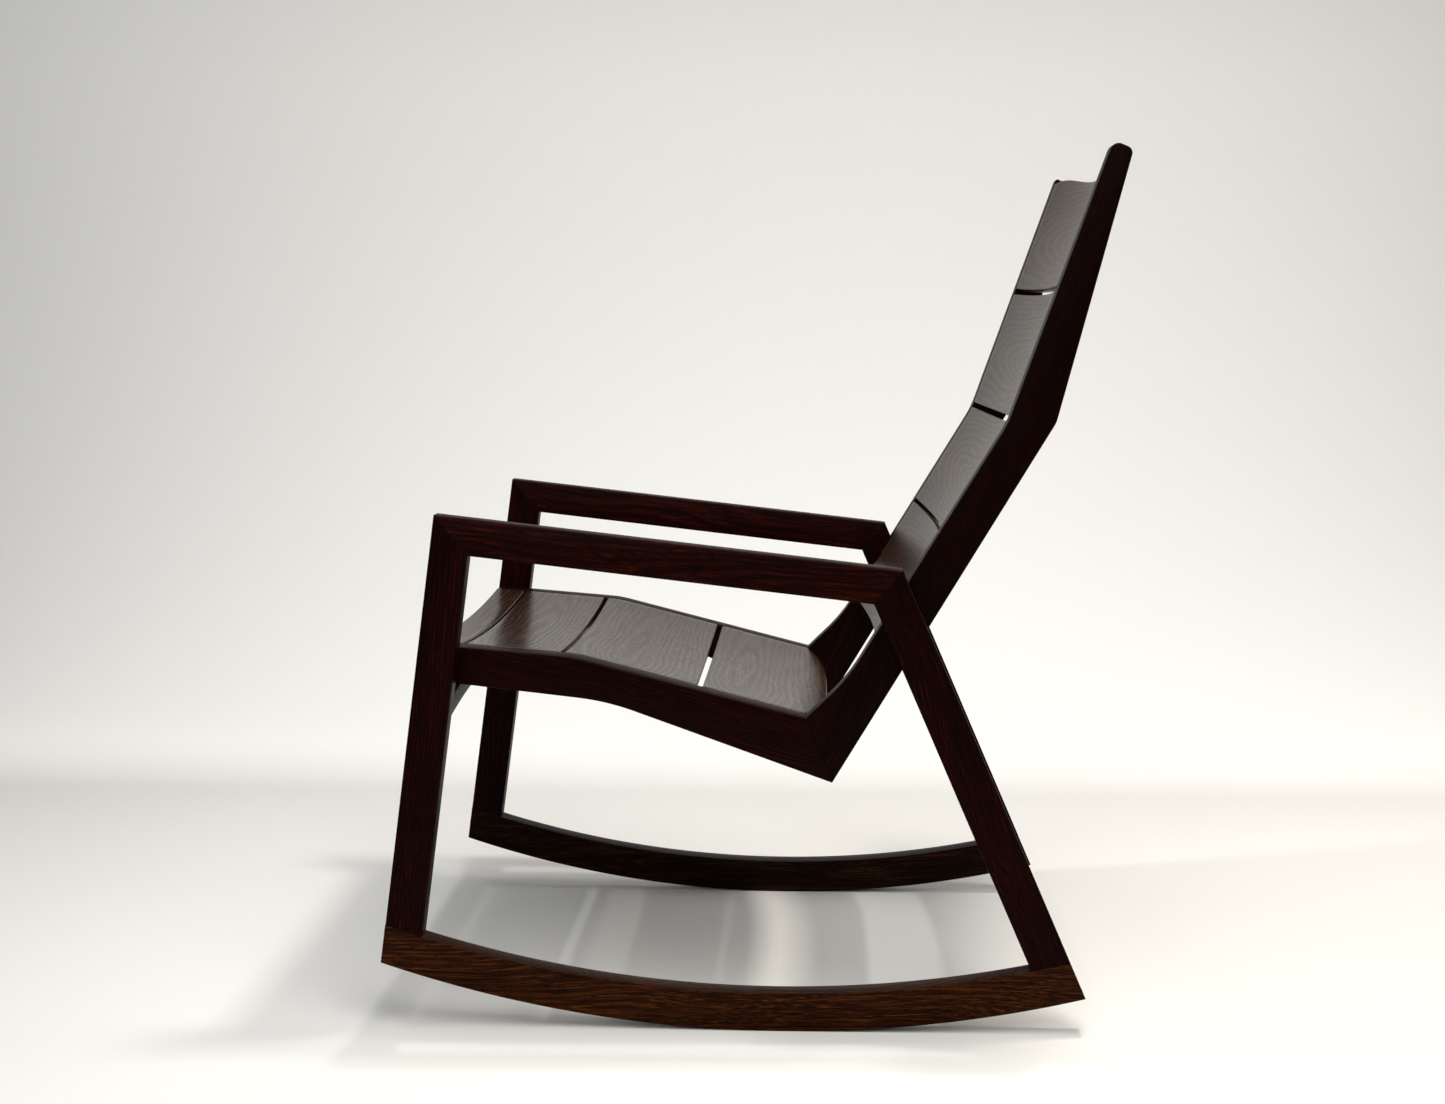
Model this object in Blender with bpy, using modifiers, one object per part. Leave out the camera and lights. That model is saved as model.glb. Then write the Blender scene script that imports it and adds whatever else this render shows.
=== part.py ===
"""Rocking chair: two closed side frames on curved rockers, and between them a bent seat and
back frame carrying dished slats.  Every piece is an object of its own, held by hidden joinery.

Axes: the chair faces -Y, +Z is up, X runs across it (+X is the sitter's left).  The side view is
drawn in (y, z) with y = 0 where the rockers touch the floor; the last step slides everything
along Y so that the origin is the middle of the footprint.
"""

import math

import bmesh
import bpy
from mathutils import Vector

# ---------------------------------------------------------------- driving sizes, in metres
OVERALL_WIDTH = 0.610
FRAME_THICK = 0.028           # legs, arms and rockers, across X
RAIL_THICK = 0.030            # seat and back rails, across X
GAP = 0.0003                  # between two pieces that touch
SLAT_END_GAP = 0.0010         # shadow line between a slat and its rail

ROCKER_RADIUS = 1.508
ROCKER_DEPTH = 0.046
LEG_FRONT_TOP = (-0.404, 0.620)
LEG_FRONT_FOOT = (-0.478, 0.078)
LEG_REAR_TOP = (0.146, 0.5565)
LEG_REAR_FOOT = (0.366, 0.046)
FRONT_LEG_DEPTH = 0.0455
REAR_LEG_DEPTH = 0.0465
ARM_DEPTH = 0.0437

SEAT_FRONT = (-0.423, 0.4620)
SEAT_BEND = (-0.243, 0.4470)
SEAT_CORNER = (0.034, 0.3755)
SEAT_BEND_RADIUS = 0.160
BACK_LOWER_BEND = (0.0828, 0.4229)
BACK_LOWER_RADIUS = 0.220
BACK_UPPER_BEND = (0.268, 0.7260)
BACK_UPPER_RADIUS = 0.140
BACK_TOP = (0.3835, 1.0500)

RAIL_UNDER_FRONT = (-0.423, 0.4185)
RAIL_UNDER_BEND = (-0.205, 0.3940)
RAIL_UNDER_RADIUS = 0.300
RAIL_HEEL = (0.065, 0.2970)
BACK_REAR_BEND = (0.324, 0.7270)
BACK_REAR_RADIUS = 0.030
BACK_REAR_TOP = (0.4065, 1.0400)
RAIL_TOP_RADIUS = 0.0105

SEAT_SLAT_THICK = 0.018
BACK_SLAT_THICK = 0.014
SEAT_DISH = 0.010
BACK_DISHES = (0.024, 0.018, 0.015, 0.018, 0.028)   # at the lower edge, the three gaps, the crest
CREST_SCOOP = 0.0173          # how far the top edge dips in the middle
CREST_SHOULDER = 0.0063       # how much of that dip is given back towards the rails
SEAT_TAIL = 0.030             # how far the rear seat slat reaches back in the middle
# where each slat starts and stops, measured along the seat line and along the back line
SEAT_SLATS = ((0.0000, 0.0403), (0.0438, 0.1584), (0.1644, 0.3296), (0.3371, 0.4660))
BACK_SLATS = ((0.1030, 0.2655), (0.2707, 0.4250), (0.4320, 0.5950), (0.6030, 0.7645))

TONGUE_LENGTH = 0.008         # each slat end runs this far into its rail
TONGUE_THICK = 0.007
TONGUE_INSET = 0.006          # tongue starts this far in from the slat's two edges
TONGUE_DROP = 0.004           # below the slat's upper face

STRETCHER_HEIGHT = 0.023
STRETCHER_DEPTH = 0.026
STRETCHER_REAR = -0.395       # y of its rear face
STRETCHER_DROP = 0.0495       # its underside at the legs, below the front end of the seat rails
STRETCHER_RISE = 0.020
STRETCHER_TENON = (0.014, 0.012, 0.016)

TENON_THICK = 0.009
SPLINE_PLACE = 0.52           # middle of a mitre spline, as a share of the way in along the mitre
HEEL_TENON_PLACE = 0.33       # middle of the heel tenon, as a share of the rail's thickness
FOOT_TENON = (0.022, 0.040)
MITRE_SPLINE = (0.020, 0.034)
RAIL_SPLINE = (0.044, 0.040)

BOLT_RADIUS = 0.003
BOLT_HEAD_RADIUS = 0.007
BOLT_HEAD_HEIGHT = 0.003
BOLT_RECESS = 0.004
INSERT_RADIUS = 0.005
INSERT_LENGTH = 0.016
BOLT_CLEARANCE = 0.0004
BOLT_SHORT = 0.001            # the shank stops this far before the end of its insert
OVERRUN = 0.002               # a hole's tool starts this far outside the wood
SEAT_BOLTS = ((-0.4105, 0.4305), (-0.3930, 0.4295))
BACK_BOLTS = ((0.1490, 0.4560), (0.1625, 0.4860))

EDGE_ROUND = 0.0022
SLAT_ROUND = 0.0016
SHARP_ANGLE = math.radians(32)
ARC_STEP = math.radians(2.6)
DISH_STEPS = 12
ROCKER_STEPS = 34
ROUND_STEPS = 20
PATH_REACH = 0.002            # half the length over which a path's direction is averaged
BEND_CLEAR = 0.004            # a bend this close to a slat's edge gets no row of its own
BEYOND = 1.2                  # lines that meet the floor curve are tried this much further

FRAME_OUTER = OVERALL_WIDTH / 2
FRAME_INNER = FRAME_OUTER - FRAME_THICK
RAIL_OUTER = FRAME_INNER - GAP
RAIL_INNER = RAIL_OUTER - RAIL_THICK
SLAT_HALF = RAIL_INNER - SLAT_END_GAP
STRETCHER_FOOT = RAIL_UNDER_FRONT[1] - STRETCHER_DROP

WOOD = {
    "rocker wood": ((0.042, 0.017, 0.010), 0.42),
    "leg wood": ((0.030, 0.009, 0.006), 0.42),
    "rail wood": ((0.024, 0.008, 0.005), 0.42),
    "slat wood": ((0.050, 0.030, 0.022), 0.36),
    "joinery wood": ((0.160, 0.085, 0.045), 0.60),
}
METAL = {
    "bolt steel": ((0.320, 0.320, 0.330), 0.35),
    "insert brass": ((0.600, 0.430, 0.190), 0.35),
}


# ---------------------------------------------------------------- scene and materials
def clear_scene():
    for item in list(bpy.data.objects):
        bpy.data.objects.remove(item, do_unlink=True)


def make_collection(name):
    group = bpy.data.collections.new(name)
    bpy.context.scene.collection.children.link(group)
    return group


def make_materials():
    made = {}
    for table, metallic in ((WOOD, 0.0), (METAL, 1.0)):
        for name, (colour, roughness) in table.items():
            material = bpy.data.materials.new(name)
            material.use_nodes = True
            shader = material.node_tree.nodes["Principled BSDF"]
            shader.inputs["Base Color"].default_value = (*colour, 1.0)
            shader.inputs["Roughness"].default_value = roughness
            shader.inputs["Metallic"].default_value = metallic
            material.diffuse_color = (*colour, 1.0)
            made[name] = material
    return made


# ---------------------------------------------------------------- flat geometry in (y, z)
def line_meet(a, b, c, d):
    """Where the line a-b crosses the line c-d."""
    r = (b[0] - a[0], b[1] - a[1])
    s = (d[0] - c[0], d[1] - c[1])
    t = ((c[0] - a[0]) * s[1] - (c[1] - a[1]) * s[0]) / (r[0] * s[1] - r[1] * s[0])
    return (a[0] + r[0] * t, a[1] + r[1] * t)


def shifted_line(a, b, distance):
    """The line a-b moved sideways, to its left when the distance is positive."""
    length = math.dist(a, b)
    ny = -(b[1] - a[1]) / length * distance
    nz = (b[0] - a[0]) / length * distance
    return (a[0] + ny, a[1] + nz), (b[0] + ny, b[1] + nz)


def arc_height(radius, depth, y):
    """Height of the circle of a given radius about the rockers' centre, depth below it cut off."""
    return ROCKER_RADIUS - math.sqrt((radius - depth) ** 2 - y ** 2)


def line_meets_arc(a, b, depth):
    """Where the line a-b crosses the rocker's upper (or lower) curve, by halving."""
    low, high = 0.0, 1.0
    for _ in range(60):
        mid = (low + high) / 2
        y = a[0] + (b[0] - a[0]) * mid
        z = a[1] + (b[1] - a[1]) * mid
        if z > arc_height(ROCKER_RADIUS, depth, y):
            low = mid
        else:
            high = mid
    return (a[0] + (b[0] - a[0]) * low, a[1] + (b[1] - a[1]) * low)


def rocker_curve(y_from, y_to, depth, steps):
    points = []
    for i in range(steps + 1):
        y = y_from + (y_to - y_from) * i / steps
        points.append((y, arc_height(ROCKER_RADIUS, depth, y)))
    return points


def rounded(corners):
    """A chain of (y, z, radius) corners turned into points, each radius drawn as an arc."""
    points = []
    last = len(corners) - 1
    for i, (y, z, radius) in enumerate(corners):
        if radius <= 0 or i in (0, last):
            points.append((y, z))
            continue
        here = Vector((y, z))
        back = (Vector(corners[i - 1][:2]) - here).normalized()
        ahead = (Vector(corners[i + 1][:2]) - here).normalized()
        opening = back.angle(ahead)
        reach = radius / math.tan(opening / 2)
        centre = here + (back + ahead).normalized() * (radius / math.sin(opening / 2))
        start = here + back * reach - centre
        sweep = math.pi - opening
        turn = 1.0 if back.x * ahead.y - back.y * ahead.x < 0 else -1.0
        count = max(2, math.ceil(sweep / (ARC_STEP if radius > 0.02 else ARC_STEP * 6)))
        for k in range(count + 1):
            angle = turn * sweep * k / count
            c, s = math.cos(angle), math.sin(angle)
            points.append((centre.x + start.x * c - start.y * s, centre.y + start.x * s + start.y * c))
    return points


class Path:
    """A chain of points that can be asked for a place and a direction at a length along it."""

    def __init__(self, points):
        self.points = points
        self.marks = [0.0]
        for a, b in zip(points, points[1:]):
            self.marks.append(self.marks[-1] + math.dist(a, b))

    def at(self, length):
        for i in range(len(self.points) - 1):
            if length <= self.marks[i + 1] or i == len(self.points) - 2:
                break
        a, b = self.points[i], self.points[i + 1]
        t = (length - self.marks[i]) / (self.marks[i + 1] - self.marks[i])
        return (a[0] + (b[0] - a[0]) * t, a[1] + (b[1] - a[1]) * t)

    def inward(self, length):
        """Unit vector square to the path, averaged over a short reach so that it turns smoothly."""
        a = self.at(length - PATH_REACH)
        b = self.at(length + PATH_REACH)
        d = math.dist(a, b)
        return ((b[1] - a[1]) / d, -(b[0] - a[0]) / d)

    def stations(self, start, stop):
        """Lengths from start to stop that keep every bend of the chain between them."""
        kept = [start]
        for mark in self.marks:
            if start + BEND_CLEAR < mark < stop - BEND_CLEAR:
                kept.append(mark)
        kept.append(stop)
        return kept


# ---------------------------------------------------------------- meshes and objects
def new_object(name, bm, group, material=None, smooth=False):
    bmesh.ops.remove_doubles(bm, verts=bm.verts[:], dist=1e-6)
    bmesh.ops.recalc_face_normals(bm, faces=bm.faces[:])
    mesh = bpy.data.meshes.new(name)
    bm.to_mesh(mesh)
    bm.free()
    item = bpy.data.objects.new(name, mesh)
    group.objects.link(item)
    if material:
        mesh.materials.append(material)
    if smooth:
        mesh.shade_smooth()
    return item


def add_plate(bm, outline, x_from, x_to):
    """A flat outline in (y, z) given its thickness across X."""
    verts = [bm.verts.new((x_from, y, z)) for y, z in outline]
    edges = [bm.edges.new((one, two)) for one, two in zip(verts, verts[1:] + verts[:1])]
    face = bmesh.ops.edgenet_fill(bm, edges=edges)["faces"]
    grown = bmesh.ops.extrude_face_region(bm, geom=face)
    moved = [g for g in grown["geom"] if isinstance(g, bmesh.types.BMVert)]
    bmesh.ops.translate(bm, verts=moved, vec=(x_to - x_from, 0.0, 0.0))


def add_round(bm, profile, centre, steps):
    """A profile of (x, radius) pairs turned about an axis along X through centre (y, z)."""
    verts = [bm.verts.new((x, centre[0] + radius, centre[1])) for x, radius in profile]
    edges = [bm.edges.new((a, b)) for a, b in zip(verts, verts[1:])]
    bmesh.ops.spin(bm, geom=verts + edges, cent=(0.0, centre[0], centre[1]), axis=(1.0, 0.0, 0.0),
                   dvec=(0.0, 0.0, 0.0), angle=2 * math.pi, steps=steps, use_merge=True)
    bmesh.ops.remove_doubles(bm, verts=bm.verts[:], dist=1e-6)


def on_line(point, line):
    """True when a (y, z) point is within half a millimetre of the endless line."""
    a, b = line
    cross = (b[0] - a[0]) * (point[1] - a[1]) - (b[1] - a[1]) * (point[0] - a[0])
    return abs(cross) / math.dist(a, b) < 0.0006


def ease_edges(item, width, joints=()):
    """Round the sharp edges, but keep those that lie in a joint so that it closes flush."""
    bm = bmesh.new()
    bm.from_mesh(item.data)
    weight = bm.edges.layers.float.new("bevel_weight_edge")
    for edge in bm.edges:
        ends = [(v.co.y, v.co.z) for v in edge.verts]
        in_joint = any(on_line(ends[0], line) and on_line(ends[1], line) for line in joints)
        sharp = edge.calc_face_angle(0.0) > SHARP_ANGLE
        edge[weight] = 1.0 if sharp and not in_joint else 0.0
    bm.to_mesh(item.data)
    bm.free()
    bevel = item.modifiers.new("eased edges", "BEVEL")
    bevel.width = width
    bevel.segments = 2
    bevel.limit_method = "WEIGHT"


def cut_with(item, cutter):
    """All the cutters of one piece share a collection, so that a single Boolean takes them at once."""
    tools = bpy.data.collections.get(f"cuts {item.name}")
    if not tools:
        tools = make_collection(f"cuts {item.name}")
        cut = item.modifiers.new("cuts", "BOOLEAN")
        cut.operation = "DIFFERENCE"
        cut.solver = "EXACT"
        cut.operand_type = "COLLECTION"
        cut.collection = tools
    tools.objects.link(cutter)


def make_cutter(name, bm, group):
    cutter = new_object(name, bm, group)
    cutter.hide_render = True
    cutter.display_type = "WIRE"
    return cutter


def widen(box_outline, amount):
    """A convex outline moved outward by an amount on every side."""
    area = sum(a[0] * b[1] - a[1] * b[0] for a, b in zip(box_outline, box_outline[1:] + box_outline[:1]))
    side = -amount if area > 0 else amount
    count = len(box_outline)
    grown = []
    for i in range(count):
        before = shifted_line(box_outline[i - 1], box_outline[i], side)
        after = shifted_line(box_outline[i], box_outline[(i + 1) % count], side)
        grown.append(line_meet(*before, *after))
    return grown


def slab_outline(middle, along, length, width):
    """A rectangle in (y, z): its middle, a direction, its length along it and its width."""
    d = Vector(along).normalized()
    n = Vector((-d.y, d.x))
    m = Vector(middle)
    half = d * (length / 2)
    wide = n * (width / 2)
    return [tuple(m - half - wide), tuple(m + half - wide), tuple(m + half + wide), tuple(m - half + wide)]


# ---------------------------------------------------------------- the side view worked out
def side_view():
    """All corners of the side frame, from the two leg lines, the arm line and the rocker curve."""
    front = (LEG_FRONT_TOP, LEG_FRONT_FOOT)
    front_in = shifted_line(*front, FRONT_LEG_DEPTH)
    rear = (LEG_REAR_TOP, LEG_REAR_FOOT)
    rear_in = shifted_line(*rear, -REAR_LEG_DEPTH)
    arm = (LEG_FRONT_TOP, LEG_REAR_TOP)
    arm_in = shifted_line(*arm, -ARM_DEPTH)
    return {
        "arm_front": LEG_FRONT_TOP,
        "arm_rear": LEG_REAR_TOP,
        "inner_front": line_meet(*front_in, *arm_in),
        "inner_rear": line_meet(*rear_in, *arm_in),
        "front_foot": line_meets_arc(*front, ROCKER_DEPTH),
        "front_foot_in": line_meets_arc(*front_in, ROCKER_DEPTH),
        "rear_foot": line_meets_arc(*rear, ROCKER_DEPTH),
        "rear_foot_in": line_meets_arc(*rear_in, ROCKER_DEPTH),
        "front_tip": line_meets_arc(LEG_FRONT_TOP, extend(*front), 0.0),
        "rear_tip": line_meets_arc(LEG_REAR_TOP, extend(*rear), 0.0),
    }


def extend(a, b):
    """A point beyond b on the line a-b, so that a crossing just past b is still found."""
    return (a[0] + (b[0] - a[0]) * BEYOND, a[1] + (b[1] - a[1]) * BEYOND)


def parted(a, b, amount):
    """The joint line a-b moved to its left by half a gap."""
    return shifted_line(a, b, amount / 2)


def seat_path():
    return Path(rounded([(*SEAT_FRONT, 0), (*SEAT_BEND, SEAT_BEND_RADIUS), (*SEAT_CORNER, 0)]))


def back_path():
    return Path(rounded([(*SEAT_CORNER, 0), (*BACK_LOWER_BEND, BACK_LOWER_RADIUS),
                         (*BACK_UPPER_BEND, BACK_UPPER_RADIUS), (*BACK_TOP, 0)]))


# ---------------------------------------------------------------- side frame pieces
def leg_outlines(view):
    """Front leg, rear leg and arm as closed outlines with a gap left at every joint."""
    a, b = view["arm_front"], view["inner_front"]
    c, d = view["arm_rear"], view["inner_rear"]
    mitre_leg = parted(a, b, -GAP)
    mitre_arm = parted(a, b, GAP)
    rear_leg = parted(c, d, GAP)
    rear_arm = parted(c, d, -GAP)
    front_joint = [(view["front_foot_in"][0], view["front_foot_in"][1] + GAP),
                   (view["front_foot"][0], view["front_foot"][1] + GAP)]
    rear_joint = [(view["rear_foot"][0], view["rear_foot"][1] + GAP),
                  (view["rear_foot_in"][0], view["rear_foot_in"][1] + GAP)]
    front = [line_meet(*mitre_leg, a, view["front_foot"]), line_meet(*mitre_leg, b, view["front_foot_in"]),
             *front_joint]
    rear = [line_meet(*rear_leg, d, view["rear_foot_in"]), line_meet(*rear_leg, c, view["rear_foot"]),
            *rear_joint]
    arm = [line_meet(*mitre_arm, a, c), line_meet(*rear_arm, a, c),
           line_meet(*rear_arm, b, d), line_meet(*mitre_arm, b, d)]
    return {"front_leg": front, "rear_leg": rear, "arm": arm}


def rocker_outline(view):
    """Two concentric arcs; the top is drawn flat under each leg so that the leg stands square."""
    lower = rocker_curve(view["front_tip"][0], view["rear_tip"][0], 0.0, ROCKER_STEPS)
    upper = rocker_curve(view["rear_foot_in"][0], view["front_foot_in"][0], ROCKER_DEPTH, ROCKER_STEPS - 6)
    return lower + [view["rear_foot"]] + upper + [view["front_foot"]]


def joint_slabs(view):
    """Hidden joinery in the side frame: name, middle, direction, length, width."""
    slabs = {}
    for name, one, two in (("front_foot_tenon", "front_foot", "front_foot_in"),
                           ("rear_foot_tenon", "rear_foot", "rear_foot_in")):
        p, q = Vector(view[one]), Vector(view[two])
        across = (q - p).normalized()
        down = Vector((across.y, -across.x))
        slabs[name] = slab_outline((p + q) / 2, down, FOOT_TENON[1], FOOT_TENON[0])
    for name, one, two in (("front_arm_spline", "arm_front", "inner_front"),
                           ("rear_arm_spline", "arm_rear", "inner_rear")):
        p, q = Vector(view[one]), Vector(view[two])
        across = (q - p).normalized()
        slabs[name] = slab_outline(p + (q - p) * SPLINE_PLACE, (across.y, -across.x), MITRE_SPLINE[1],
                                   MITRE_SPLINE[0])
    return slabs


JOINT_LINES = (("arm_front", "inner_front"), ("arm_rear", "inner_rear"),
               ("front_foot", "front_foot_in"), ("rear_foot", "rear_foot_in"))
SLAB_IN = {
    "front_foot_tenon": ("front_leg", "rocker"),
    "rear_foot_tenon": ("rear_leg", "rocker"),
    "front_arm_spline": ("front_leg", "arm"),
    "rear_arm_spline": ("rear_leg", "arm"),
}


# ---------------------------------------------------------------- rails
def rail_outlines():
    """Seat rail and back rail, parted along the mitre at the heel."""
    seat_side = parted(SEAT_CORNER, RAIL_HEEL, -GAP)
    back_side = parted(SEAT_CORNER, RAIL_HEEL, GAP)
    seat_top = line_meet(*seat_side, SEAT_BEND, SEAT_CORNER)
    seat_heel = line_meet(*seat_side, RAIL_UNDER_BEND, RAIL_HEEL)
    back_top = line_meet(*back_side, SEAT_CORNER, BACK_LOWER_BEND)
    back_heel = line_meet(*back_side, RAIL_HEEL, BACK_REAR_BEND)
    seat = rounded([(*SEAT_FRONT, 0), (*SEAT_BEND, SEAT_BEND_RADIUS), (*seat_top, 0)])
    seat += rounded([(*seat_heel, 0), (*RAIL_UNDER_BEND, RAIL_UNDER_RADIUS), (*RAIL_UNDER_FRONT, 0)])
    back = rounded([(*back_heel, 0), (*back_top, 0), (*BACK_LOWER_BEND, BACK_LOWER_RADIUS),
                    (*BACK_UPPER_BEND, BACK_UPPER_RADIUS), (*BACK_TOP, RAIL_TOP_RADIUS),
                    (*BACK_REAR_TOP, RAIL_TOP_RADIUS * 0.8), (*BACK_REAR_BEND, BACK_REAR_RADIUS),
                    (*back_heel, 0)])
    return {"seat_rail": seat, "back_rail": back[:-1]}


def heel_slab():
    """The loose tenon across the rail mitre."""
    p, q = Vector(SEAT_CORNER), Vector(RAIL_HEEL)
    across = (q - p).normalized()
    return slab_outline((p + q) / 2, (across.y, -across.x), RAIL_SPLINE[0], RAIL_SPLINE[1])


# ---------------------------------------------------------------- slats
def strip_grid(path, start, stop, upper, lower):
    """Points of a strip below a path: for each station one point at each of the two drops."""
    rows = []
    for length in path.stations(start, stop):
        y, z = path.at(length)
        ny, nz = path.inward(length)
        rows.append([(y + ny * drop, z + nz * drop, ny, nz) for drop in (upper, lower)])
    return rows


def add_strip(bm, rows, xs, dish, lengthwise):
    """Sweep the strip across X.  dish(u, v) is the sag, u across and v along; scoops follow it."""
    grid = []
    count = len(rows) - 1
    for x in xs:
        u = x / SLAT_HALF
        plane = []
        for i, row in enumerate(rows):
            v = i / count
            line = []
            for y, z, ny, nz in row:
                sag = dish(u, v)
                slide = lengthwise(u, v)
                line.append(bm.verts.new((x, y + ny * sag - nz * slide, z + nz * sag + ny * slide)))
            plane.append(line)
        grid.append(plane)
    return grid


def skin(bm, grid):
    """Faces over the outside of a block of points grid[x][station][level]."""
    nx, ns, nl = len(grid), len(grid[0]), len(grid[0][0])
    for i in range(nx - 1):
        for j in range(ns - 1):
            for k in (0, nl - 1):
                bm.faces.new((grid[i][j][k], grid[i + 1][j][k], grid[i + 1][j + 1][k], grid[i][j + 1][k]))
    for i in range(nx - 1):
        for k in range(nl - 1):
            for j in (0, ns - 1):
                bm.faces.new((grid[i][j][k], grid[i + 1][j][k], grid[i + 1][j][k + 1], grid[i][j][k + 1]))
    for j in range(ns - 1):
        for k in range(nl - 1):
            for i in (0, nx - 1):
                bm.faces.new((grid[i][j][k], grid[i][j + 1][k], grid[i][j + 1][k + 1], grid[i][j][k + 1]))


def flat(u, v):
    return 0.0


def slat_mesh(path, span, thick, dish, lengthwise, plumb):
    """A dished board along the path; plumb cuts its far end upright instead of square."""
    bm = bmesh.new()
    rows = strip_grid(path, *span, 0.0, thick)
    if plumb:
        y, z, ny, nz = rows[-1][0]
        rows[-1][1] = (y, z + thick / nz, ny, nz)
    xs = [SLAT_HALF * (2 * i / DISH_STEPS - 1) for i in range(DISH_STEPS + 1)]
    skin(bm, add_strip(bm, rows, xs, dish, lengthwise))
    return bm


def tongue_mesh(path, span, grow, xs):
    """One end tongue (grow = 0) or the groove that takes it (grow = the clearance)."""
    bm = bmesh.new()
    rows = strip_grid(path, span[0] + TONGUE_INSET - grow, span[1] - TONGUE_INSET + grow,
                      TONGUE_DROP - grow, TONGUE_DROP + TONGUE_THICK + grow)
    skin(bm, add_strip(bm, rows, xs, flat, flat))
    return bm


def slat_dish(kind, index):
    """Two rules for one slat: its sag across, and how far its points slide along the path."""
    last = index == 3
    if kind == "seat":
        tail = SEAT_TAIL if last else 0.0
        return (lambda u, v: SEAT_DISH * (1 - u * u)), (lambda u, v: tail * v * (1 - u ** 4))
    low, high = BACK_DISHES[index:index + 2]
    scoop, shoulder = (CREST_SCOOP, CREST_SHOULDER) if last else (0.0, 0.0)
    return ((lambda u, v: (low + (high - low) * v) * (1 - u * u)),
            (lambda u, v: v * (shoulder - scoop * (1 - u * u)) * (1 - u * u)))


# ---------------------------------------------------------------- assembly
def build_frames(parts, tools, materials):
    view = side_view()
    outlines = leg_outlines(view)
    outlines["rocker"] = rocker_outline(view)
    slabs = joint_slabs(view)
    joints = [(view[one], view[two]) for one, two in JOINT_LINES]
    made = {}
    for side, label in ((1, "left"), (-1, "right")):
        for piece, outline in outlines.items():
            bm = bmesh.new()
            add_plate(bm, outline, side * FRAME_INNER, side * FRAME_OUTER)
            wood = materials["rocker wood" if piece == "rocker" else "leg wood"]
            item = new_object(f"{label}_{piece}", bm, parts, wood)
            ease_edges(item, EDGE_ROUND, joints)
            made[label, piece] = item
        middle = side * (FRAME_INNER + FRAME_OUTER) / 2
        for name, outline in slabs.items():
            bm = bmesh.new()
            add_plate(bm, outline, middle - TENON_THICK / 2, middle + TENON_THICK / 2)
            tenon = new_object(f"{label}_{name}", bm, parts, materials["joinery wood"])
            bm = bmesh.new()
            add_plate(bm, widen(outline, GAP), middle - TENON_THICK / 2 - GAP, middle + TENON_THICK / 2 + GAP)
            cutter = make_cutter(f"cut {label} {name}", bm, tools)
            for piece in SLAB_IN[name]:
                cut_with(made[label, piece], cutter)
    return made


def build_rails(parts, tools, materials, made):
    outlines = rail_outlines()
    slab = heel_slab()
    for side, label in ((1, "left"), (-1, "right")):
        for piece, outline in outlines.items():
            bm = bmesh.new()
            add_plate(bm, outline, side * RAIL_INNER, side * RAIL_OUTER)
            item = new_object(f"{label}_{piece}", bm, parts, materials["rail wood"])
            ease_edges(item, EDGE_ROUND, [(SEAT_CORNER, RAIL_HEEL)])
            made[label, piece] = item
        middle = side * (RAIL_OUTER - RAIL_THICK * HEEL_TENON_PLACE)
        bm = bmesh.new()
        add_plate(bm, slab, middle - TENON_THICK / 2, middle + TENON_THICK / 2)
        new_object(f"{label}_heel_tenon", bm, parts, materials["joinery wood"])
        bm = bmesh.new()
        add_plate(bm, widen(slab, GAP), middle - TENON_THICK / 2 - GAP, middle + TENON_THICK / 2 + GAP)
        cutter = make_cutter(f"cut {label} heel_tenon", bm, tools)
        cut_with(made[label, "seat_rail"], cutter)
        cut_with(made[label, "back_rail"], cutter)


def join_solids(item, others):
    """Union the extra solids into the item in one go, so that the node stays one closed body."""
    extras = make_collection(f"joined to {item.name}")
    for other in others:
        extras.objects.link(other)
    add = item.modifiers.new("join", "BOOLEAN")
    add.operation = "UNION"
    add.solver = "EXACT"
    add.operand_type = "COLLECTION"
    add.collection = extras


def build_slats(parts, tools, materials, made):
    plan = (("seat", seat_path(), SEAT_SLATS, SEAT_SLAT_THICK),
            ("back", back_path(), BACK_SLATS, BACK_SLAT_THICK))
    tip = RAIL_INNER + TONGUE_LENGTH
    for kind, path, spans, thick in plan:
        for index, span in enumerate(spans):
            dish, lengthwise = slat_dish(kind, index)
            name = f"{kind}_slat_{index + 1}"
            board = slat_mesh(path, span, thick, dish, lengthwise, name == "seat_slat_4")
            slat = new_object(name, board, parts, materials["slat wood"])
            ease_edges(slat, SLAT_ROUND)
            tongues = []
            for side, label in ((1, "left"), (-1, "right")):
                bm = tongue_mesh(path, span, 0.0, [side * (SLAT_HALF - TONGUE_LENGTH), side * tip])
                tongues.append(make_cutter(f"tongue {name} {label}", bm, tools))
                bm = tongue_mesh(path, span, GAP,
                                 [side * (RAIL_INNER - TONGUE_LENGTH), side * (tip + GAP * 2)])
                cut_with(made[label, f"{kind}_rail"], make_cutter(f"groove {name} {label}", bm, tools))
            join_solids(slat, tongues)


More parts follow.
